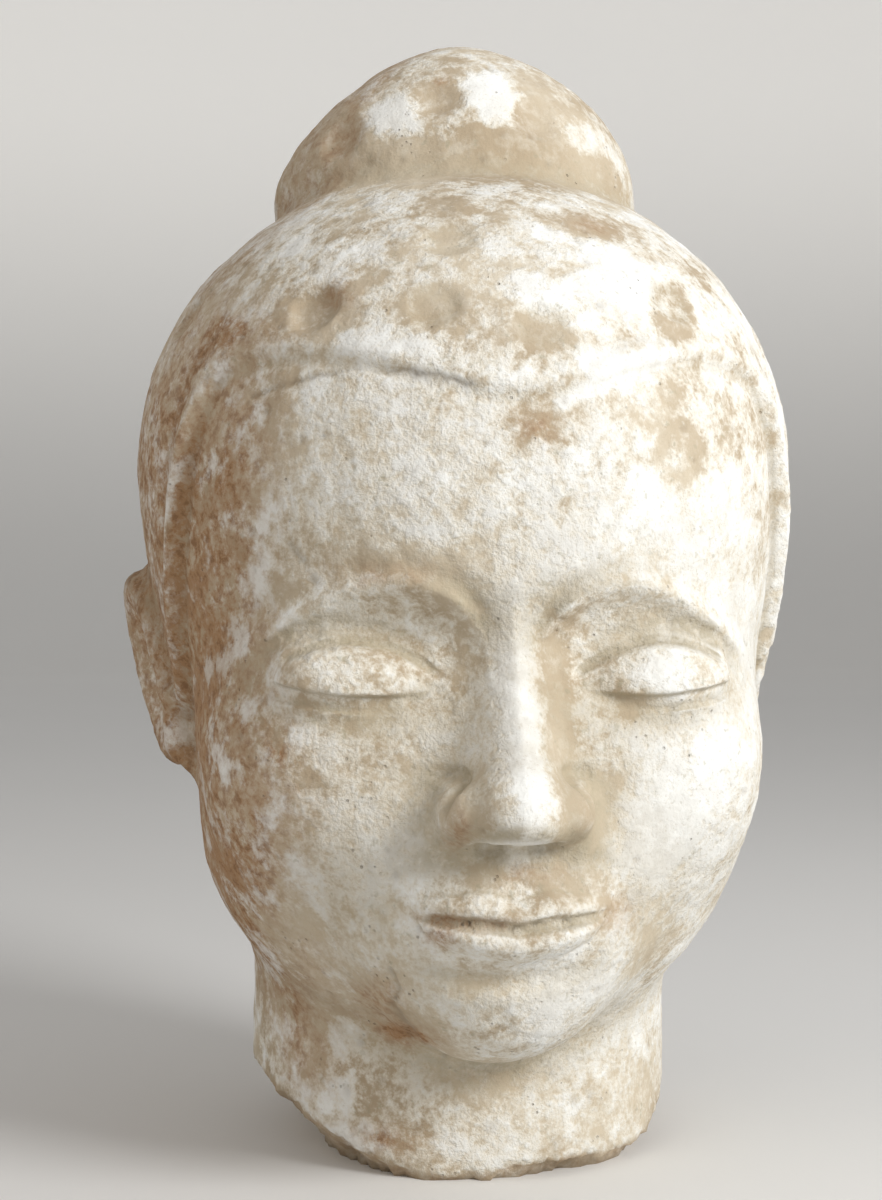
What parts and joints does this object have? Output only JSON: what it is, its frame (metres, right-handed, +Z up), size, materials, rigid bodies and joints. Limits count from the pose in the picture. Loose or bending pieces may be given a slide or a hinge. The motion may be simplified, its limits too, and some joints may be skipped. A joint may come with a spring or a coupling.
{
  "type": "buddha head sculpture",
  "caption": "Stucco head of the Buddha with a smooth worn cap of hair, domed topknot, lowered lids, long ears and a short broken neck it stands on.",
  "frame": {"origin": "middle of the flat underside of the broken neck", "axes": "+Z up through the topknot, -Y out of the face, +X to the viewer's right when facing the face"},
  "size_m": [0.1541, 0.1837, 0.2498],
  "materials": {
    "stucco": "worn lime slip over tan stucco, matt"
  },
  "bodies": {
    "root": {"head": "stucco"}
  },
  "joints": []
}
